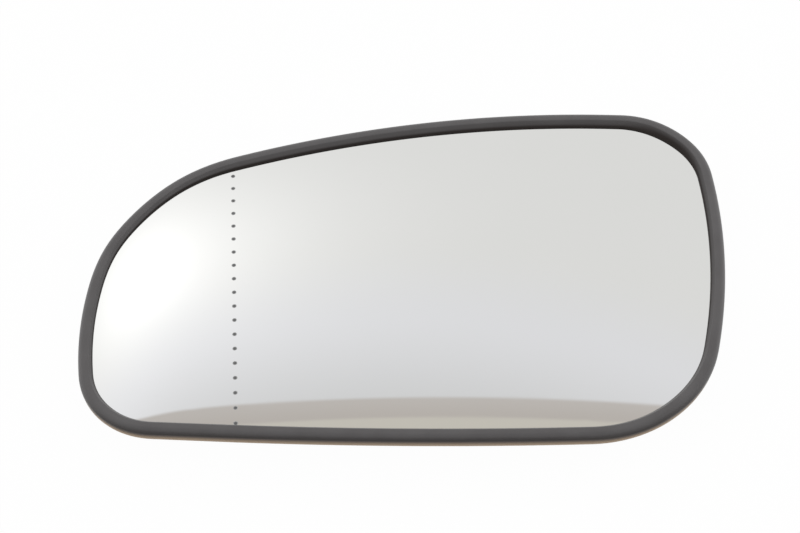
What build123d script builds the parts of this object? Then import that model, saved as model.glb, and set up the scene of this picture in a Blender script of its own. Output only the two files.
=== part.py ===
from build123d import *
import os
from math import asin, atan2, ceil, cos, degrees, radians, sin, sqrt

# Car door mirror glass, lying on its back: +Z out of the glass, +X towards the car, +Y up as it is fitted.
# The origin is the middle of the snap ring, on the ring's rear face. Millimetres and degrees throughout.

# Front outline: four wide arcs. Each has the reach of its crest from the origin, the heading of that crest
# and a radius, and the corners between them are rounded.
bottom_reach = 54.8
bottom_heading = -90.5
bottom_radius = 850.0
inner_reach = 92.9
inner_heading = -13.0
inner_radius = 200.0
top_reach = 60.2
top_heading = 101.8
top_radius = 404.0
outer_reach = 87.3
outer_heading = 138.0
outer_radius = 109.0
bottom_inner_corner = 41.4
top_inner_corner = 26.6
top_outer_corner = 59.0
bottom_outer_corner = 24.5

# Mirror surface: a sphere whose curvature rises step by step outboard of the dotted line.
crown_radius = 1400.0
edge_radius = 250.0
aspheric_run = 46.0
aspheric_steps = 2
dot_line_offset = 49.0
dot_line_lean = 3.45
dot_line_middle = -0.4
dot_count = 19
dot_pitch = 5.0
dot_diameter = 1.35
dot_depth = 0.05

# Layers behind the mirror surface, and how far the snap ring stands out behind the floor.
glass_thickness = 2.0
pad_thickness = 0.5
floor_thickness = 2.0
ring_depth = 9.0

# Rim section, and the longest stretch between two points of the path that it follows.
rim_width = 4.0
rim_crest = 1.9
rim_round = 1.7
round_steps = 4
lip_edge = 0.6
lip_slope_run = 0.95
glass_overlap = 1.0
glass_clearance = 0.2
pad_margin = 1.5
bead_foot = 0.5
skirt_inset = 0.25
back_chamfer = 2.2
bead_step = 30.0

# Stiffening ribs on the back.
rib_width = 1.4
rib_height = 3.0
rib_loop_inset = 13.0
rib_hoop_radius = 40.0

# Snap ring that grips the adjuster's plate.
ring_bore = 48.0
ring_wall = 2.2
tab_count = 6
tab_angle = 30.0
tab_slot = 1.6
tab_slot_height = 6.5
barb_reach = 1.0
barb_lead = 0.9
barb_land = 1.2
barb_catch = 0.8
window_setback = 0.3
hub_hole = 24.0

# Heater terminals, the plinth that they sit on and their rivets.
blade_width = 6.3
blade_thickness = 0.8
blade_length = 8.5
blade_tip_chamfer = 1.2
blade_hole = 1.8
blade_hole_setback = 4.0
foot_length = 8.0
crank_run = 3.0
crank_drop = 3.0
bend_radius = 0.8
terminal_spacing = 15.0
plinth_gap = 5.0
plinth_margin = 2.5
plinth_height = 1.2
plinth_round = 2.0
rivet_shank = 2.6
rivet_head = 4.8
rivet_head_height = 0.7
rivet_flange = 4.4
rivet_flange_thickness = 0.4
rivet_clearance = 0.05

# Levels are measured from the glass front, which is level 0, and heights from the ring's rear face.
floor_front = -(glass_thickness + pad_thickness)
floor_back = floor_front - floor_thickness
floor_middle = floor_back + floor_thickness / 2
crown_height = ring_depth - floor_back
prism_height = crown_height + 2 * rim_crest
blank_half = 1.5 * max(inner_reach, outer_reach)

glass_inset = rim_width - glass_overlap
channel_inset = glass_inset - glass_clearance

ring_inside = ring_bore / 2
ring_outside = ring_inside + ring_wall
ring_middle = ring_inside + ring_wall / 2
tab_turn = 180 / tab_count
barb_angle = tab_angle - degrees(tab_slot / ring_inside)
barb_radius = ring_inside - barb_reach
barb_top = barb_lead + barb_land + barb_catch

plinth_start = ring_outside + plinth_gap
plinth_length = foot_length + 2 * plinth_margin
plinth_width = terminal_spacing + blade_width + 2 * plinth_margin
foot_start = plinth_start + plinth_margin
rivet_x = foot_start + foot_length / 2


def unit(heading):
    """Unit vector of the plan at a heading."""
    return Vector(cos(radians(heading)), sin(radians(heading)))


def bearing(start, end):
    """Heading from one point of the plan to another."""
    return degrees(atan2(end.Y - start.Y, end.X - start.X))


def corner_centre(side, other, radius):
    """Centre of the corner arc that touches two side arcs from inside, each given as centre and radius."""
    (here, near), (there, far) = side, other
    gap = there - here
    ahead = gap.normalized()
    along = ((near - radius) ** 2 - (far - radius) ** 2 + gap.length**2) / (2 * gap.length)
    across = sqrt((near - radius) ** 2 - along**2)
    return here + ahead * along + ahead.rotate(Axis.Z, 90) * across


def outline_arcs(inset):
    """The rim's outline, moved inwards by inset: side and corner arcs in turn, anticlockwise."""
    sides = [
        (unit(bottom_heading) * (bottom_reach - bottom_radius), bottom_radius),
        (unit(inner_heading) * (inner_reach - inner_radius), inner_radius),
        (unit(top_heading) * (top_reach - top_radius), top_radius),
        (unit(outer_heading) * (outer_reach - outer_radius), outer_radius),
    ]
    radii = [bottom_inner_corner, top_inner_corner, top_outer_corner, bottom_outer_corner]
    following = sides[1:] + sides[:1]
    corners = [corner_centre(side, other, radius) for side, other, radius in zip(sides, following, radii)]
    arcs = []
    for step, (centre, radius) in enumerate(sides):
        start = bearing(centre, corners[step - 1])
        turn = bearing(centre, corners[step])
        end = bearing(following[step][0], corners[step])
        arcs.append(CenterArc(centre, radius - inset, start, (turn - start) % 360))
        arcs.append(CenterArc(corners[step], radii[step] - inset, turn, (end - turn) % 360))
    return arcs


def rim_outline(inset):
    """The same outline as a flat region."""
    return make_face(outline_arcs(inset))


def mirror_blank():
    """Block whose top is the mirror surface, with its crown at the origin: a section of tangent arcs, which
    tighten step by step outboard of the dots, turned about the middle of the crown's sphere."""
    spread = degrees(blank_half / crown_radius)
    dots_turn = degrees(asin((dot_line_offset + dot_diameter) / crown_radius))
    top = [CenterArc((0, -crown_radius), crown_radius, 90 - spread, spread + dots_turn)]
    for step in range(aspheric_steps + 1):
        share = min(1, (step + 0.5) / aspheric_steps)
        radius = 1 / (1 / crown_radius + share * (1 / edge_radius - 1 / crown_radius))
        run = aspheric_run if step == aspheric_steps else aspheric_run / aspheric_steps
        top.append(JernArc(top[-1] @ 1, top[-1] % 1, radius, degrees(run / radius)))
    start = top[0] @ 0
    end = top[-1] @ 1
    foot = -2 * prism_height
    section = Plane.XZ * make_face(top + [Polyline(end, (end.X, foot), (start.X, foot), start)])
    middle = Axis((0, 0, -crown_radius), (1, 0, 0))
    return Rot(0, 0, dot_line_lean) * revolve(section.rotate(middle, -spread), middle, 2 * spread)


blank = mirror_blank()


def on_mirror(spot):
    """The point of the mirror surface over a point of the plan."""
    hits = blank.find_intersection_points(Axis((spot.X, spot.Y, 0), (0, 0, 1)))
    return Vector(spot.X, spot.Y, crown_height + max(point.Z for point, normal in hits))


plinth_corner = Vector(plinth_start + plinth_length, plinth_width / 2)
plinth_face = on_mirror(plinth_corner).Z + floor_back - plinth_height


def below(level):
    """Everything under the mirror surface moved to the given level."""
    return Pos(0, 0, crown_height + level) * blank


def layer(region, low, high):
    """Flat region made into a curved layer between two levels."""
    return (extrude(region, prism_height) & below(high)) - below(low)


def around(start=0.0):
    """Turns about the ring's axis, one for each tab."""
    return [Rot(0, 0, start + 360 * step / tab_count) for step in range(tab_count)]


def dot_dimples():
    """Balls that grind the row of shallow dots, just inboard of the aspheric zone."""
    row = Rot(0, 0, dot_line_lean) * Pos(-dot_line_offset, dot_line_middle)
    radius = (dot_diameter**2 / 4 + dot_depth**2) / (2 * dot_depth)
    balls = []
    for place in GridLocations(dot_pitch, dot_pitch, 1, dot_count):
        spot = on_mirror((row * place).position)
        balls.append(Pos(spot.X, spot.Y, spot.Z + radius - dot_depth) * Sphere(radius, rotation=(90, 0, 0)))
    return balls


def mirror_glass():
    """Convex pane with the dots etched through its front coating."""
    pane = layer(rim_outline(glass_inset), -glass_thickness, 0)
    return pane - dot_dimples()


def heater_pad():
    """Adhesive heating foil that bonds the glass to the carrier."""
    return layer(rim_outline(glass_inset + pad_margin), floor_front, -glass_thickness)


def laid_on_mirror(arc):
    """Arc of the plan laid on the mirror surface."""
    steps = ceil(arc.length / bead_step)
    spots = [on_mirror(arc @ (step / steps)) for step in range(steps + 1)]
    ends = [(arc @ at, arc % at) for at in (0, 1)]
    tangents = [on_mirror(spot + ahead) - on_mirror(spot - ahead) for spot, ahead in ends]
    return Spline(spots, tangents=tangents)


def rim_bead():
    """Rounded bead round the glass, sloping down inside to the lip that holds the glass edge."""
    path = Wire([laid_on_mirror(arc) for arc in outline_arcs(0)])
    turns = [radians(90 * step / round_steps) for step in range(round_steps + 1)]
    section = make_face(
        Polyline(
            (0, -bead_foot),
            *[(rim_round * (1 - cos(turn)), rim_crest - rim_round * (1 - sin(turn))) for turn in turns],
            (rim_width - lip_slope_run, rim_crest),
            (rim_width, lip_edge),
            (rim_width, -bead_foot),
            close=True,
        )
    )
    ahead = path % 0
    start = Plane(path @ 0, x_dir=(-ahead.Y, ahead.X, 0), z_dir=ahead)
    return sweep(start * section, path, binormal=Pos(0, 0, prism_height) * path)


def tray():
    """Block under the bead, curved and bevelled at the back."""
    body = layer(rim_outline(skirt_inset), floor_back, -bead_foot / 2)
    back = body.faces().filter_by(lambda face: face.normal_at(face.center()).Z < -0.9)
    edges = [edge for face in back for edge in face.edges()]
    around_back = [edge for edge in edges if sum(edge.is_same(other) for other in edges) == 1]
    return chamfer(around_back, back_chamfer)


def plinth_plan(margin=0.0):
    """Flat seat of the two terminal feet, just outside the ring."""
    plan = RectangleRounded(plinth_length + 2 * margin, plinth_width + 2 * margin, plinth_round + margin)
    return Pos(plinth_start + plinth_length / 2, 0) * plan


def rib_plan():
    """Loop inside the rim, hoop round the ring and the spokes between them."""
    edge = rim_outline(rib_loop_inset)
    loop = edge - rim_outline(rib_loop_inset + rib_width)
    hoop = Circle(rib_hoop_radius + rib_width / 2) - Circle(rib_hoop_radius - rib_width / 2)
    spoke = Pos(blank_half, 0) * Rectangle(2 * blank_half, rib_width)
    spokes = (Sketch() + [turn * spoke for turn in around()]) - Circle(ring_middle)
    return ((loop + hoop + spokes) & edge) - plinth_plan(rib_width)


def snap_ring():
    """Ring wall slit into spring tabs, each with a barb inside its rear end."""
    ring = extrude(Circle(ring_outside) - Circle(ring_inside), prism_height) & below(floor_middle)
    slot = Pos(ring_middle, 0, 0) * Box(2 * ring_wall, tab_slot, 2 * tab_slot_height)
    for side in (-1, 1):
        ring -= [turn * slot for turn in around(tab_turn + side * tab_angle / 2)]
    profile = Polyline(
        (ring_middle, 0),
        (ring_inside, 0),
        (barb_radius, barb_lead),
        (barb_radius, barb_top - barb_catch),
        (ring_inside, barb_top),
        (ring_middle, barb_top),
        close=True,
    )
    barb = revolve(Plane.XZ * make_face(profile), Axis.Z, barb_angle)
    return ring + [turn * barb for turn in around(tab_turn - barb_angle / 2)]


def barb_windows():
    """Windows in the floor over the barbs' tips, where the mould's cores came through."""
    middle = barb_radius + barb_reach / 2 - window_setback
    section = Pos(middle, ring_depth) * Rectangle(barb_reach, 2 * floor_thickness)
    window = revolve(Plane.XZ * section, Axis.Z, barb_angle)
    return [turn * window for turn in around(tab_turn - barb_angle / 2)]


def rivet_places():
    """Feet of the two rivets on the plinth, upper one first."""
    return [Pos(rivet_x, side * terminal_spacing / 2, plinth_face) for side in (1, -1)]


def flange_seat(place):
    """Bottom of the round pocket that lets a rivet's flange lie under the heating foil."""
    spot = Vector(place.position.X, place.position.Y)
    lowest = on_mirror(spot + spot.normalized() * rivet_flange / 2)
    return Pos(spot.X, spot.Y, lowest.Z + floor_front - rivet_flange_thickness)


def carrier():
    """One moulding: tray, bead, ribs, plinth and snap ring."""
    body = tray() + rim_bead() - layer(rim_outline(channel_inset), floor_front, 0)
    ribs = layer(rib_plan(), floor_back - rib_height, floor_middle)
    plinth = Pos(0, 0, plinth_face) * extrude(plinth_plan(), prism_height) & below(floor_middle)
    body += [ribs, plinth]
    shank_room = Circle(rivet_shank / 2 + rivet_clearance)
    flange_room = Circle(rivet_flange / 2 + rivet_clearance)
    cuts = [extrude(Circle(hub_hole / 2), prism_height)] + barb_windows()
    for place in rivet_places():
        cuts.append(place * extrude(shank_room, prism_height))
        cuts.append(flange_seat(place) * extrude(flange_room, prism_height))
    return body - cuts + snap_ring()


def heater_terminal(place):
    """Cranked spade terminal whose foot lies on the plinth."""
    bend = foot_length / 2
    path = FilletPolyline(
        (-bend, 0, -blade_thickness / 2),
        (bend, 0, -blade_thickness / 2),
        (bend + crank_run, 0, -blade_thickness / 2 - crank_drop),
        (bend + crank_run + blade_length, 0, -blade_thickness / 2 - crank_drop),
        radius=bend_radius,
    )
    section = Plane(path @ 0, x_dir=(0, 1, 0), z_dir=path % 0) * Rectangle(blade_width, blade_thickness)
    strip = sweep(section, path)
    tip = strip.faces().sort_by(Axis.X)[-1]
    strip = chamfer(tip.edges().filter_by(Axis.Z), blade_tip_chamfer)
    end = path @ 1
    strip -= Pos(end.X - blade_hole_setback, 0, end.Z) * Cylinder(blade_hole / 2, 2 * blade_thickness)
    strip -= Cylinder(rivet_shank / 2 + rivet_clearance, 4 * blade_thickness)
    return place * strip


def rivet(place):
    """Rivet from the terminal's foot through the floor to a flange against the heating foil."""
    head = extrude(Circle(rivet_head / 2), -rivet_head_height)
    seat = flange_seat(place)
    flange = seat * extrude(Circle(rivet_flange / 2), rivet_flange_thickness)
    foot_back = place * Pos(0, 0, -blade_thickness)
    shank = extrude(Circle(rivet_shank / 2), seat.position.Z - foot_back.position.Z)
    return foot_back * (head + shank) + flange


upper_place, lower_place = rivet_places()
nodes = {
    "mirror_glass": mirror_glass(),
    "heater_pad": heater_pad(),
    "carrier": carrier(),
    "heater_terminal_upper": heater_terminal(upper_place),
    "heater_terminal_lower": heater_terminal(lower_place),
    "terminal_rivets": Compound([rivet(upper_place), rivet(lower_place)]),
}

os.makedirs("parts", exist_ok=True)
for name, shape in nodes.items():
    shape.label = name
    export_step(shape, f"parts/{name}.step")
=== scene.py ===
from math import atan2, ceil, cos, degrees, pi, radians, sin, sqrt, tan

import bpy
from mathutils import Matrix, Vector
from mathutils.bvhtree import BVHTree
from mathutils.geometry import delaunay_2d_cdt


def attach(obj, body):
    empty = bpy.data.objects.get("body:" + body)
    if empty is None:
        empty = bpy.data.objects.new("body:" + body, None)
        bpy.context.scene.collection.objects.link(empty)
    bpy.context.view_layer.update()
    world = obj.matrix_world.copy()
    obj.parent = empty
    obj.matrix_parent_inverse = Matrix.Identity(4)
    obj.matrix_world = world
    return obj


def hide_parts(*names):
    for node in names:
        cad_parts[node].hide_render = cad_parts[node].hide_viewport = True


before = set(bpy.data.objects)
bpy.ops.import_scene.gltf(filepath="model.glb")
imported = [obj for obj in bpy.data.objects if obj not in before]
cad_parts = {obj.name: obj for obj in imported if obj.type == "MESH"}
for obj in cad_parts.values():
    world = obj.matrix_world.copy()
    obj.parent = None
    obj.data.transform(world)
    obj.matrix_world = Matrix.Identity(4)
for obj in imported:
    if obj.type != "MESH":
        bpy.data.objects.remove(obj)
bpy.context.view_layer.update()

# Lengths below are millimetres in the CAD frame, and MM turns them into Blender's metres.
MM = 0.001

# Rim outline, anticlockwise from below: reach, heading and radius of each wide arc, and the corner after it.
BOTTOM_ARC = (54.8, -90.5, 850.0)
BOTTOM_INNER_CORNER = 41.4
INNER_ARC = (92.9, -13.0, 200.0)
TOP_INNER_CORNER = 26.6
TOP_ARC = (60.2, 101.8, 404.0)
TOP_OUTER_CORNER = 59.0
OUTER_ARC = (87.3, 138.0, 109.0)
BOTTOM_OUTER_CORNER = 24.5

# Mirror surface: a sphere that drops away outboard of the dots.
CROWN_HEIGHT = 13.5
CROWN_RADIUS = 1400.0
DOT_OFFSET = 49.0
DOT_LEAN = radians(3.45)
DOT_MIDDLE = -0.4
DOT_COUNT = 19
DOT_PITCH = 5.0
DOT_RADIUS = 0.675
DOT_DEPTH = 0.05
ASPHERIC_RUN = 46.0
ASPHERIC_DROP = 1.3
ASPHERIC_POWER = 3

# Levels from the mirror surface and insets from the outline, as the CAD has them.
GLASS_THICKNESS = 2.0
GLASS_INSET = 3.0
FLOOR_BACK = -4.5
RIM_WIDTH = 4.0
RIM_CREST = 1.9
RIM_ROUND = 1.7
LIP_EDGE = 0.6
LIP_RUN = 0.95
CHANNEL_INSET = 2.8
BEAD_FOOT = 0.5
SKIRT_INSET = 0.25
BACK_CHAMFER = 2.2

# Skin over the rim: its stand-off, its rounded edges, and the drift that widens its lip at one heading.
SKIN_GAP = 0.05
LIP_GAP = 0.08
CREST_ROUND = 0.3
BACK_ROUND = 2.0
LIP_DRIFT = 1.4
LIP_DRIFT_HEADING = radians(58.0)
LIP_DRIFT_POWER = 3

# Painted warm bounce light and painted shade along the skin's lower side. LOWER is the outward normal's Y,
# the shade's strength a share, and the rest are levels.
LOWER_FROM = -0.1
LOWER_FULL = -0.7
BOUNCE_FROM = 0.3
BOUNCE_FULL = -1.9
LOWER_SHADE = 0.76
LOWER_SHADE_FROM = 1.9
LOWER_SHADE_FULL = 0.7

# Painted shade on the slope down to the lip, as shares: all round, and added at the upper inner corner.
SLOPE_SHADE = 0.22
SHADE_FROM = 0.6
CORNER_SHADE = 0.75
CORNER_SHARES = (0.3, 1.0)
CORNER_HEADING = radians(45.0)
CORNER_POWER = 3

# Mesh fineness.
OUTLINE_STEP = 1.5
PANE_STEP = 3.0
DOT_SIDES = 20
ROUND_STEPS = 10
CREST_STEPS = 4
NORMAL_REACH = 0.5
PANE_SHARP = radians(40.0)
SKIN_SHARP = radians(35.0)
KEEP_INSIDE = 1
MERGE_DISTANCE = 1e-6

# Rays that find the carrier's bead: where they start, and how many results on each side are averaged.
PROBE_REACH = 5.0
PROBE_SPAN = 3

# Camera as the photograph has it.
VIEW_ELEVATION = radians(52.0)
VIEW_DISTANCE = 574.7
VIEW_TARGET = (-0.74, 5.48, CROWN_HEIGHT)
FOCAL_LENGTH = 88.36
SENSOR_WIDTH = 36.0
CLIP_START = 10.0

# Finishes. Pairs run from the low to the high end of what drives them. Sizes and depths are in millimetres,
# and the track's scale is the wave texture's own.
WHITE = (1.0, 1.0, 1.0)
NOISE_ROUGHNESS = 0.55
NOISE_SPAN = (0.3, 0.7)
MIRROR_TINTS = ((0.855, 0.857, 0.85), (0.868, 0.868, 0.864))
MIRROR_HAZE = 24.0
MIRROR_HAZE_SPAN = (0.45, 0.75)
MIRROR_ROUGHNESS = (0.012, 0.03)
ETCHED_TINTS = ((0.1, 0.1, 0.102), (0.15, 0.15, 0.152))
ETCHED_EDGE = (0.5, 0.5, 0.5)
ETCHED_EDGE_SPAN = (0.45, 1.1)
ETCHED_GRAIN = 0.12
ETCHED_ROUGHNESS = (0.5, 0.7)
PLASTIC_TINTS = ((0.072, 0.0665, 0.0685), (0.089, 0.0835, 0.0855))
# Colour of the painted shade on the lip face, the slope down to it and the lower side's wall.
PLASTIC_SHADE = (0.026, 0.021, 0.019)
# Warm colour of the painted bounce light from the floor along the rim's lower edge.
PLASTIC_BOUNCE = (0.42, 0.31, 0.215)
PLASTIC_GRAIN = 0.22
PLASTIC_GRAIN_STRENGTH = 0.12
PLASTIC_GRAIN_DEPTH = 0.05
PLASTIC_MARKS = 9.0
PLASTIC_MARKS_SPAN = (0.3, 0.75)
PLASTIC_ROUGHNESS = (0.4, 0.5)
PLASTIC_SPECULAR = (0.7, 0.1)
PLASTIC_SHEEN = 0.12
PLASTIC_SHEEN_ROUGHNESS = 0.4
FOIL_TINTS = ((0.3, 0.17, 0.07), (0.36, 0.215, 0.095))
FOIL_GRAIN = 0.5
FOIL_ROUGHNESS = (0.3, 0.45)
FOIL_TRACK = (0.2, 0.17, 0.15)
FOIL_TRACK_SCALE = 80.0
FOIL_TRACK_WANDER = 0.6
FOIL_TRACK_SPAN = (0.86, 0.92)
TERMINAL_TINTS = ((0.62, 0.47, 0.22), (0.78, 0.62, 0.32))
TERMINAL_ROUGHNESS = 0.26
RIVET_TINTS = ((0.56, 0.43, 0.2), (0.72, 0.58, 0.32))
RIVET_ROUGHNESS = 0.34
BRASS_STAIN = 2.2
BRASS_STAIN_ROUGHNESS = 0.12
BRASS_GRAIN = 0.15
BRASS_GRAIN_STRENGTH = 0.15
BRASS_GRAIN_DEPTH = 0.03


def unit(angle):
    return Vector((cos(angle), sin(angle)))


def bearing(start, end):
    return atan2(end.y - start.y, end.x - start.x)


def turns_of(count):
    """Headings of so many equal steps round a circle."""
    return [2 * pi * step / count for step in range(count)]


def outline_arcs():
    """The outline's arcs in turn: centre, radius, heading of the start and turn."""
    sides = []
    for reach, heading, radius in (BOTTOM_ARC, INNER_ARC, TOP_ARC, OUTER_ARC):
        sides.append((unit(radians(heading)) * (reach - radius), radius))
    following = sides[1:] + sides[:1]
    radii = (BOTTOM_INNER_CORNER, TOP_INNER_CORNER, TOP_OUTER_CORNER, BOTTOM_OUTER_CORNER)
    corners = []
    for (here, near), (there, far), corner in zip(sides, following, radii):
        gap = there - here
        ahead = gap.normalized()
        along = ((near - corner) ** 2 - (far - corner) ** 2 + gap.length**2) / (2 * gap.length)
        across = sqrt((near - corner) ** 2 - along**2)
        corners.append((here + ahead * along + ahead.orthogonal() * across, corner))
    arcs = []
    for step, (centre, radius) in enumerate(sides):
        start = bearing(centre, corners[step - 1][0])
        turn = bearing(centre, corners[step][0])
        end = bearing(following[step][0], corners[step][0])
        arcs.append((centre, radius, start, (turn - start) % (2 * pi)))
        arcs.append((*corners[step], turn, (end - turn) % (2 * pi)))
    return arcs


def outline():
    """Points of the outline with their outward normals."""
    found = []
    for centre, radius, start, turn in outline_arcs():
        steps = ceil(radius * turn / OUTLINE_STEP)
        for step in range(steps):
            normal = unit(start + turn * step / steps)
            found.append((centre + normal * radius, normal))
    return found


def inset_loop(inset):
    return [point - normal * inset for point, normal in outline()]


def surface(x, y):
    """Height of the mirror surface."""
    outboard = max(0.0, -DOT_OFFSET - 2 * DOT_RADIUS - x * cos(DOT_LEAN) - y * sin(DOT_LEAN))
    drop = ASPHERIC_DROP * (outboard / ASPHERIC_RUN) ** ASPHERIC_POWER
    return CROWN_HEIGHT + sqrt(CROWN_RADIUS**2 - x * x - y * y) - CROWN_RADIUS - drop


def surface_normal(x, y):
    slope_x = surface(x + NORMAL_REACH, y) - surface(x - NORMAL_REACH, y)
    slope_y = surface(x, y + NORMAL_REACH) - surface(x, y - NORMAL_REACH)
    return Vector((-slope_x, -slope_y, 2 * NORMAL_REACH)).normalized()


def dot_centres():
    along = unit(DOT_LEAN)
    across = along.orthogonal()
    steps = [DOT_MIDDLE + DOT_PITCH * (step - (DOT_COUNT - 1) / 2) for step in range(DOT_COUNT)]
    return [across * step - along * DOT_OFFSET for step in steps]


def inside(point, loop):
    """Whether a point of the plan lies inside a closed loop."""
    odd = False
    for here, there in zip(loop, loop[1:] + loop[:1]):
        if (here.y > point.y) != (there.y > point.y):
            if point.x < here.x + (there.x - here.x) * (point.y - here.y) / (there.y - here.y):
                odd = not odd
    return odd


def new_piece(name, points, faces, materials):
    """Mesh object from points in millimetres."""
    mesh = bpy.data.meshes.new(name)
    mesh.from_pydata([Vector(point) * MM for point in points], [], faces)
    for material in materials:
        mesh.materials.append(material)
    piece = bpy.data.objects.new(name, mesh)
    bpy.context.scene.collection.objects.link(piece)
    return piece


class Graph:
    """Short way to lay out a node tree."""

    def __init__(self, tree):
        self.tree = tree
        tree.nodes.clear()

    def add(self, kind, inputs=None, **settings):
        node = self.tree.nodes.new("ShaderNode" + kind)
        for key, value in settings.items():
            setattr(node, key, value)
        for key, value in (inputs or {}).items():
            if isinstance(value, bpy.types.NodeSocket):
                self.tree.links.new(value, node.inputs[key])
            else:
                node.inputs[key].default_value = value
        return node

    def math(self, operation, first, second=0.0, third=0.0):
        inputs = {0: first, 1: second, 2: third}
        return self.add("Math", inputs, operation=operation).outputs[0]

    def ramp(self, value, low, high, to_low=0.0, to_high=1.0):
        """Smooth step of a value from one range to another."""
        inputs = {"Value": value, "From Min": low, "From Max": high, "To Min": to_low, "To Max": to_high}
        return self.add("MapRange", inputs, interpolation_type="SMOOTHSTEP").outputs["Result"]

    def mix(self, share, first, second):
        """Colour between two colours."""
        node = self.add("Mix", data_type="RGBA")
        for name, value in (("Factor_Float", share), ("A_Color", first), ("B_Color", second)):
            socket = next(each for each in node.inputs if each.identifier == name)
            if isinstance(value, bpy.types.NodeSocket):
                self.tree.links.new(value, socket)
            else:
                socket.default_value = value if name == "Factor_Float" else (*value, 1.0)
        return next(each for each in node.outputs if each.identifier == "Result_Color")

    def noise(self, size, detail=2.0):
        """Noise whose grains are about the given size in millimetres."""
        place = self.add("TexCoord").outputs["Object"]
        inputs = {"Vector": place, "Scale": 1 / (size * MM), "Detail": detail, "Roughness": NOISE_ROUGHNESS}
        return self.add("TexNoise", inputs).outputs["Fac"]

    def bump(self, height, strength, depth):
        """Normal of a surface roughened by a height, to a depth in millimetres."""
        inputs = {"Height": height, "Strength": strength, "Distance": depth * MM}
        return self.add("Bump", inputs).outputs["Normal"]

    def attribute(self, name):
        """Value that the mesh carries at its points."""
        return self.add("Attribute", attribute_name=name).outputs["Fac"]


def new_material(name):
    material = bpy.data.materials.new(name)
    material.use_nodes = True
    return material, Graph(material.node_tree)


def finish_material(graph, inputs):
    shader = graph.add("BsdfPrincipled", inputs)
    graph.add("OutputMaterial", {"Surface": shader.outputs["BSDF"]})


def mirror_material():
    """Mirror coating with a faint haze."""
    material, graph = new_material("mirror_coating")
    haze = graph.noise(MIRROR_HAZE, detail=4.0)
    finish_material(graph, {
        "Base Color": graph.mix(haze, *MIRROR_TINTS),
        "Metallic": 1.0,
        "Roughness": graph.ramp(haze, *MIRROR_HAZE_SPAN, *MIRROR_ROUGHNESS),
    })
    return material


def etched_material():
    """Ground glass of the dots, paler towards their edge."""
    material, graph = new_material("etched_dots")
    grain = graph.noise(ETCHED_GRAIN)
    ground = graph.mix(grain, *ETCHED_TINTS)
    at_edge = graph.ramp(graph.attribute("dot_share"), *ETCHED_EDGE_SPAN)
    finish_material(graph, {
        "Base Color": graph.mix(at_edge, ground, ETCHED_EDGE),
        "Roughness": graph.ramp(grain, *NOISE_SPAN, *ETCHED_ROUGHNESS),
    })
    return material


def plastic_material():
    """Satin moulding with a fine grain and faint handling marks, and the skin's painted shade and painted
    warm bounce light.
    """
    material, graph = new_material("rim_plastic")
    grain = graph.noise(PLASTIC_GRAIN, detail=3.0)
    marks = graph.noise(PLASTIC_MARKS, detail=5.0)
    shade = graph.attribute("shade")
    plain = graph.mix(graph.ramp(marks, *PLASTIC_MARKS_SPAN), *PLASTIC_TINTS)
    # Painted shade, then painted warm bounce light, laid over the plastic's own colour; painted shade also
    # lowers the specular.
    shaded = graph.mix(shade, plain, PLASTIC_SHADE)
    finish_material(graph, {
        "Base Color": graph.mix(graph.attribute("bounce_light"), shaded, PLASTIC_BOUNCE),
        "Roughness": graph.ramp(marks, *NOISE_SPAN, *PLASTIC_ROUGHNESS),
        "Normal": graph.bump(grain, PLASTIC_GRAIN_STRENGTH, PLASTIC_GRAIN_DEPTH),
        "Specular IOR Level": graph.ramp(shade, 0.0, 1.0, *PLASTIC_SPECULAR),
        "Sheen Weight": PLASTIC_SHEEN,
        "Sheen Roughness": PLASTIC_SHEEN_ROUGHNESS,
    })
    return material


def foil_material():
    """Amber film with the thin lines of the printed heating track."""
    material, graph = new_material("heating_foil")
    place = graph.add("TexCoord").outputs["Object"]
    inputs = {"Vector": place, "Scale": FOIL_TRACK_SCALE, "Distortion": FOIL_TRACK_WANDER}
    lines = graph.add("TexWave", inputs, bands_direction="Y").outputs["Fac"]
    grain = graph.noise(FOIL_GRAIN)
    film = graph.mix(grain, *FOIL_TINTS)
    finish_material(graph, {
        "Base Color": graph.mix(graph.ramp(lines, *FOIL_TRACK_SPAN), film, FOIL_TRACK),
        "Roughness": graph.ramp(grain, *NOISE_SPAN, *FOIL_ROUGHNESS),
    })
    return material


def brass_material(name, tints, roughness):
    """Stamped or tumbled brass, a little stained."""
    material, graph = new_material(name)
    stain = graph.noise(BRASS_STAIN, detail=4.0)
    grain = graph.noise(BRASS_GRAIN)
    finish_material(graph, {
        "Base Color": graph.mix(graph.ramp(stain, *NOISE_SPAN), *tints),
        "Metallic": 1.0,
        "Roughness": graph.ramp(stain, *NOISE_SPAN, roughness + BRASS_STAIN_ROUGHNESS, roughness),
        "Normal": graph.bump(grain, BRASS_GRAIN_STRENGTH, BRASS_GRAIN_DEPTH),
    })
    return material


def pane_plan(centres):
    """Plan of the pane, with rings of points round the dots: its points, triangles and edge loop."""
    rim = inset_loop(GLASS_INSET)
    fence = inset_loop(GLASS_INSET + PANE_STEP / 2)
    points = list(rim)
    edges = [(step, (step + 1) % len(rim)) for step in range(len(rim))]
    turns = turns_of(DOT_SIDES)
    for centre in centres:
        first = len(points)
        points += [centre + unit(turn) * DOT_RADIUS for turn in turns]
        edges += [(first + step, first + (step + 1) % DOT_SIDES) for step in range(DOT_SIDES)]
        points += [centre + unit(turn) * DOT_RADIUS / 2 for turn in turns[::2]] + [centre]
    reach = int(max(point.length for point in rim) / PANE_STEP) + 1
    for row in range(-reach, reach + 1):
        for column in range(-reach, reach + 1):
            spot = Vector((PANE_STEP * column, PANE_STEP * row))
            clear = min((spot - centre).length for centre in centres) > 2 * DOT_RADIUS
            if clear and inside(spot, fence):
                points.append(spot)
    flat, _, triangles, sources, _, _ = delaunay_2d_cdt(points, edges, [], KEEP_INSIDE, MERGE_DISTANCE)
    place = {source: index for index, found in enumerate(sources) for source in found}
    return flat, triangles, [place[step] for step in range(len(rim))]


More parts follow.
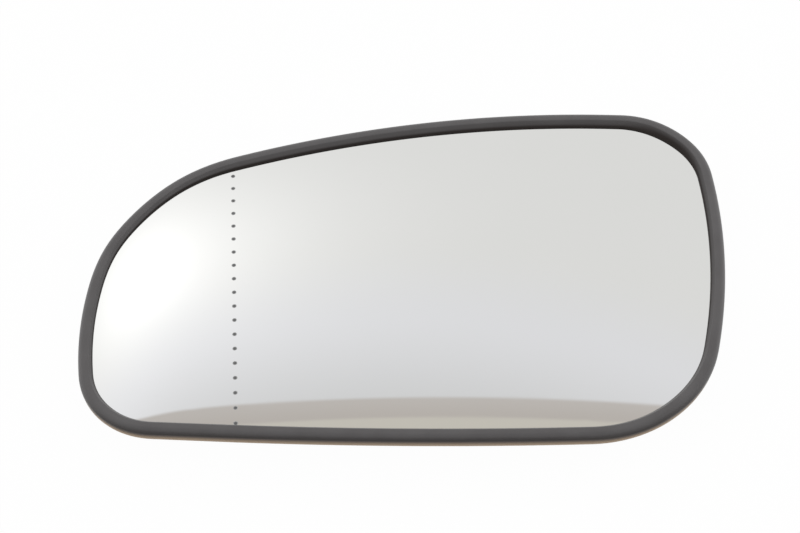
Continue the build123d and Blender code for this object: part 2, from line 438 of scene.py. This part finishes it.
def mirror_pane():
    """Smooth pane with the dots ground into its front, in place of the faceted CAD pane."""
    centres = dot_centres()
    flat, triangles, loop = pane_plan(centres)
    count = len(flat)

    def dot_share(point):
        """0 at a dot's middle, 1 at its edge and outside."""
        return min(1.0, min((point - centre).length for centre in centres) / DOT_RADIUS)

    front = []
    back = []
    for point in flat:
        height = surface(point.x, point.y)
        front.append((point.x, point.y, height - DOT_DEPTH * (1 - dot_share(point) ** 2)))
        back.append((point.x, point.y, height - GLASS_THICKNESS))
    walls = [(here, here + count, there + count, there) for here, there in zip(loop[1:] + loop[:1], loop)]
    faces = [tuple(each) for each in triangles]
    faces += [tuple(index + count for index in reversed(each)) for each in triangles] + walls
    pane = new_piece("mirror_pane", front + back, faces, [mirror_material(), etched_material()])

    normals = []
    for polygon in pane.data.polygons:
        spots = [flat[index % count] for index in polygon.vertices]
        in_front = polygon.index < len(triangles)
        etched = in_front and dot_share(sum(spots, Vector((0, 0))) / len(spots)) < 1
        polygon.use_smooth = True
        polygon.material_index = 1 if etched else 0
        for spot in spots:
            normals.append(surface_normal(spot.x, spot.y) if in_front and not etched else (0, 0, 0))
    shares = pane.data.attributes.new("dot_share", "FLOAT", "POINT")
    shares.data.foreach_set("value", [dot_share(point) for point in flat] + [1.0] * count)
    pane.data.set_sharp_from_angle(angle=PANE_SHARP)
    pane.data.normals_split_custom_set(normals)
    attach(pane, "root")
    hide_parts("mirror_glass")


def arc(centre, radius, start, end, steps):
    """Points of a rounded stretch of the rim's section."""
    turns = [radians(start + (end - start) * step / steps) for step in range(steps + 1)]
    return [(centre[0] + radius * cos(turn), centre[1] + radius * sin(turn)) for turn in turns]


def rim_section():
    """Skirt and bead of the skin as inset, level, share of painted shade and share of the corner's added
    painted shade.
    """
    crest = RIM_CREST + SKIN_GAP
    crest_end = RIM_WIDTH - LIP_RUN
    lip = RIM_WIDTH + LIP_GAP
    fall = atan2(RIM_CREST - LIP_EDGE, LIP_RUN)
    bend = CREST_ROUND * tan(fall / 2)
    half_bevel = pi / 8
    bulge = BACK_ROUND * (1 - cos(half_bevel)) + SKIN_GAP
    bevel_top = FLOOR_BACK + BACK_CHAMFER
    seam = -BEAD_FOOT - SKIN_GAP
    under = (SKIRT_INSET - bulge + BACK_ROUND, bevel_top + BACK_ROUND * tan(half_bevel))
    skirt = arc(under, BACK_ROUND, 225, 180, ROUND_STEPS) + [(SKIRT_INSET - bulge, seam)]
    crown = [(-SKIN_GAP, seam)]
    crown += arc((RIM_ROUND, crest - RIM_ROUND - SKIN_GAP), RIM_ROUND + SKIN_GAP, 180, 90, ROUND_STEPS)
    crown += arc((crest_end - bend, crest - CREST_ROUND), CREST_ROUND, 90, 90 - degrees(fall), CREST_STEPS)
    brink = (lip - LIP_GAP, LIP_EDGE + 2 * LIP_GAP)
    slope = [crown.pop()]
    slope.append(tuple(near + (far - near) * SHADE_FROM for near, far in zip(slope[0], brink)))
    foot = [brink, (lip, LIP_EDGE), (lip, SKIN_GAP)]
    hidden = [
        (RIM_WIDTH - CREST_ROUND, SKIN_GAP),
        (CHANNEL_INSET - CREST_ROUND, SKIN_GAP),
        (CHANNEL_INSET - CREST_ROUND, bevel_top),
    ]
    bead = [(*spot, 0.0, 0.0) for spot in crown]
    bead += [(*spot, SLOPE_SHADE, share) for spot, share in zip(slope, CORNER_SHARES)]
    bead += [(*spot, 1.0, 0.0) for spot in foot + hidden]
    return [(*spot, 0.0, 0.0) for spot in skirt], bead


def fade(value, start, full):
    """Share that grows from 0 to 1 as a value falls from a start."""
    return min(1.0, max(0.0, (start - value) / (start - full)))


def lobe(normal, heading, power):
    """Share that is 1 where the rim faces a heading and falls off to both sides."""
    return max(0.0, normal.dot(unit(heading))) ** power


def bead_places(ring):
    """How far outside the outline the carrier's bead lies, and the height of its level 0, round the ring."""
    tree = BVHTree.FromObject(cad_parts["carrier"], bpy.context.evaluated_depsgraph_get())
    down = Vector((0.0, 0.0, -1.0))
    found = []
    for point, normal in ring:
        start = point + normal * PROBE_REACH
        height = surface(point.x, point.y) + (RIM_CREST - RIM_ROUND - BEAD_FOOT) / 2
        reach = tree.ray_cast(Vector((*start, height)) * MM, Vector((*-normal, 0.0)))[3] / MM
        out = PROBE_REACH - reach
        spot = point + normal * (out - (RIM_ROUND + RIM_WIDTH - LIP_RUN) / 2)
        top = tree.ray_cast(Vector((*spot, CROWN_HEIGHT + PROBE_REACH)) * MM, down)[0]
        found.append(Vector((out, top.z / MM - RIM_CREST)))
    near = range(-PROBE_SPAN, PROBE_SPAN + 1)
    places = []
    for step in range(len(found)):
        total = sum((found[(step + each) % len(found)] for each in near), Vector((0, 0)))
        places.append(total / len(near))
    return places


def rim_skin(plastic):
    """Smooth rim fitted closely over the carrier's bead and skirt, with painted shade and painted warm
    bounce light along its lower edge as fitted.
    """
    skirt, bead = rim_section()
    section = skirt + bead
    ring = outline()
    points = []
    bounce_light = []
    shade = []
    for (point, normal), place in zip(ring, bead_places(ring)):
        lower = fade(normal.y, LOWER_FROM, LOWER_FULL)
        widen = LIP_DRIFT * lobe(normal, LIP_DRIFT_HEADING, LIP_DRIFT_POWER) / LIP_RUN
        corner = CORNER_SHADE * lobe(normal, CORNER_HEADING, CORNER_POWER)
        for step, (inset, level, shaded, deepened) in enumerate(section):
            out, height = place
            if step < len(skirt):
                out, height = 0.0, surface(point.x, point.y)
            spot = point + normal * (out - inset - widen * max(0.0, inset - RIM_WIDTH + LIP_RUN))
            points.append((spot.x, spot.y, height + level))
            # Painted warm bounce light from the floor on the lower side's skirt and wall.
            bounce_light.append(lower * fade(level, BOUNCE_FROM, BOUNCE_FULL))
            # Painted shade on the lower side's wall and round, or the painted shade of the lip and slope,
            # whichever is darker.
            lower_shade = LOWER_SHADE * lower * fade(level, LOWER_SHADE_FROM, LOWER_SHADE_FULL) if inset < RIM_ROUND else 0.0
            shade.append(max(shaded, lower_shade) + corner * deepened)
    width = len(section)
    faces = []
    for step in range(len(ring)):
        here = step * width
        there = (step + 1) % len(ring) * width
        for side in range(width):
            following = (side + 1) % width
            faces.append((here + side, there + side, there + following, here + following))
    skin = new_piece("rim_skin", points, faces, [plastic])
    for name, values in (("bounce_light", bounce_light), ("shade", shade)):
        skin.data.attributes.new(name, "FLOAT", "POINT").data.foreach_set("value", values)
    skin.data.polygons.foreach_set("use_smooth", [True] * len(faces))
    skin.data.set_sharp_from_angle(angle=SKIN_SHARP)
    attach(skin, "root")


def dress_cad_nodes(plastic):
    """Better materials for the CAD nodes that stay."""
    brass = brass_material("terminal_brass", TERMINAL_TINTS, TERMINAL_ROUGHNESS)
    looks = {
        "carrier": plastic,
        "heater_pad": foil_material(),
        "heater_terminal_upper": brass,
        "heater_terminal_lower": brass,
        "terminal_rivets": brass_material("rivet_brass", RIVET_TINTS, RIVET_ROUGHNESS),
    }
    for name, material in looks.items():
        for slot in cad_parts[name].material_slots:
            slot.material = material


# Studio as the mirror shows it, in radiance. Azimuth runs from +Y towards +X, and angles are in degrees. The
# panel's slopes are height over distance ahead, and the camera's side is dimmed by distance behind.
TENT = (0.801, 0.801, 0.788)
TENT_COOL = (0.805, 0.808, 0.828)
TENT_COOL_SPAN = (50.0, 55.0)
TENT_HIGH = (0.662, 0.667, 0.667)
TENT_HIGH_SPAN = (54.3, 62.0)
HORIZON = 1.8
HORIZON_SEEN = 1.0
HORIZON_SPAN = (40.0, 20.0)
GLOW = 0.576
GLOW_AZIMUTH = -22.5
GLOW_ELEVATION = 49.0
GLOW_SQUASH = 1.78
GLOW_WIDTH = 7.67
GLOW_FALL = 1.43
PANEL = (0.565, 0.533, 0.505)
PANEL_DEEP = (0.53, 0.495, 0.462)
PANEL_NEAR = (0.613, 0.585, 0.524)
PANEL_SLOPE = 1.673
PANEL_NEAR_SLOPE = 1.749
PANEL_SOFTNESS = 0.008
PANEL_END_SPAN = (2.4, 2.2)
PANEL_TILT = 0.036
LEAST_AHEAD = 0.01
CAMERA_SIDE = 0.25
CAMERA_SIDE_SPAN = (0.0, -0.5)
CAMERA_SIDE_ELEVATIONS = (38.0, 14.0)


def build_world():
    """White behind the object. All other rays see a light tent with a soft glow and an overhead panel."""
    world = bpy.data.worlds.new("studio")
    bpy.context.scene.world = world
    world.use_nodes = True
    graph = Graph(world.node_tree)
    way = graph.add("SeparateXYZ", {"Vector": graph.add("TexCoord").outputs["Generated"]})
    x, y, z = (way.outputs[axis] for axis in "XYZ")
    azimuth = graph.math("DEGREES", graph.math("ARCTAN2", x, y))
    elevation = graph.math("DEGREES", graph.math("ARCSINE", z))

    cool = graph.mix(graph.ramp(elevation, *TENT_COOL_SPAN), TENT, TENT_COOL)
    tent = graph.mix(graph.ramp(elevation, *TENT_HIGH_SPAN), cool, TENT_HIGH)

    turned = graph.math("SUBTRACT", azimuth, GLOW_AZIMUTH)
    raised = graph.math("SUBTRACT", elevation, GLOW_ELEVATION)
    beside = graph.math("MULTIPLY", turned, cos(radians(GLOW_ELEVATION)))
    above = graph.math("MULTIPLY", raised, GLOW_SQUASH)
    away = graph.math("MULTIPLY_ADD", beside, beside, graph.math("MULTIPLY", above, above))
    widths = graph.math("DIVIDE", graph.math("SQRT", away), GLOW_WIDTH)
    fall = graph.math("MULTIPLY", graph.math("POWER", widths, GLOW_FALL), -1.0)
    glow = graph.math("MULTIPLY", graph.math("EXPONENT", fall), GLOW)
    lit = graph.add("VectorMath", {0: tent, 1: glow}, operation="ADD").outputs["Vector"]

    ahead = graph.math("MAXIMUM", y, LEAST_AHEAD)
    slope = graph.math("DIVIDE", graph.math("MULTIPLY_ADD", x, PANEL_TILT, z), ahead)
    deep = graph.mix(graph.ramp(slope, PANEL_SLOPE, PANEL_NEAR_SLOPE), PANEL, PANEL_DEEP)
    near = graph.ramp(slope, PANEL_NEAR_SLOPE - PANEL_SOFTNESS, PANEL_NEAR_SLOPE + PANEL_SOFTNESS)
    begun = graph.ramp(slope, PANEL_SLOPE - PANEL_SOFTNESS, PANEL_SLOPE + PANEL_SOFTNESS)
    on_panel = graph.math("MULTIPLY", begun, graph.ramp(slope, *PANEL_END_SPAN))
    studio = graph.mix(on_panel, lit, graph.mix(near, deep, PANEL_NEAR))

    ray = graph.add("LightPath")
    horizon = graph.math("MULTIPLY_ADD", ray.outputs["Is Glossy Ray"], HORIZON_SEEN - HORIZON, HORIZON)
    studio = graph.mix(graph.ramp(elevation, *HORIZON_SPAN), studio, horizon)
    behind = graph.ramp(y, *CAMERA_SIDE_SPAN)
    dark = graph.math("MULTIPLY", behind, graph.ramp(elevation, *CAMERA_SIDE_ELEVATIONS))
    dim = graph.math("MULTIPLY_ADD", dark, CAMERA_SIDE - 1.0, 1.0)
    studio = graph.add("VectorMath", {0: studio, "Scale": dim}, operation="SCALE").outputs["Vector"]

    shown = graph.mix(ray.outputs["Is Camera Ray"], studio, WHITE)
    background = graph.add("Background", {"Color": shown, "Strength": 1.0})
    graph.add("OutputWorld", {"Surface": background.outputs["Background"]})


FLOOR_RADIUS = 4000.0
FLOOR_SIDES = 48
FLOOR_TINTS = ((0.92, 0.92, 0.92), (0.94, 0.94, 0.94))
FLOOR_GRAIN = 60.0
FLOOR_GLOW = 0.975


def build_floor():
    """Pale floor that reads as white to the camera and keeps a faint shadow."""
    material, graph = new_material("studio_floor")
    grain = graph.noise(FLOOR_GRAIN, detail=3.0)
    pale = graph.add("BsdfDiffuse", {"Color": graph.mix(grain, *FLOOR_TINTS)})
    white = graph.add("Emission", {"Color": (*WHITE, 1.0), "Strength": 1.0})
    ray = graph.add("LightPath")
    seen = graph.math("MAXIMUM", ray.outputs["Is Camera Ray"], ray.outputs["Is Glossy Ray"])
    seen = graph.math("MAXIMUM", seen, ray.outputs["Is Transmission Ray"])
    share = graph.math("MULTIPLY", seen, FLOOR_GLOW)
    blend = graph.add("MixShader", {0: share, 1: pale.outputs["BSDF"], 2: white.outputs["Emission"]})
    graph.add("OutputMaterial", {"Surface": blend.outputs["Shader"]})
    corners = [unit(turn) * FLOOR_RADIUS for turn in turns_of(FLOOR_SIDES)]
    points = [(corner.x, corner.y, 0.0) for corner in corners]
    floor = new_piece("studio_floor", points, [tuple(range(FLOOR_SIDES))], [material])


def add_camera():
    camera = bpy.data.objects.new("camera", bpy.data.cameras.new("camera"))
    bpy.context.scene.collection.objects.link(camera)
    away = Vector((0.0, -cos(VIEW_ELEVATION), sin(VIEW_ELEVATION)))
    camera.location = (Vector(VIEW_TARGET) + away * VIEW_DISTANCE) * MM
    camera.rotation_euler = away.to_track_quat("Z", "Y").to_euler()
    camera.data.lens = FOCAL_LENGTH
    camera.data.sensor_width = SENSOR_WIDTH
    camera.data.clip_start = CLIP_START * MM
    bpy.context.scene.camera = camera


add_camera()
rim_plastic = plastic_material()
mirror_pane()
rim_skin(rim_plastic)
dress_cad_nodes(rim_plastic)
build_world()
build_floor()
bpy.context.scene.view_settings.view_transform = "Standard"
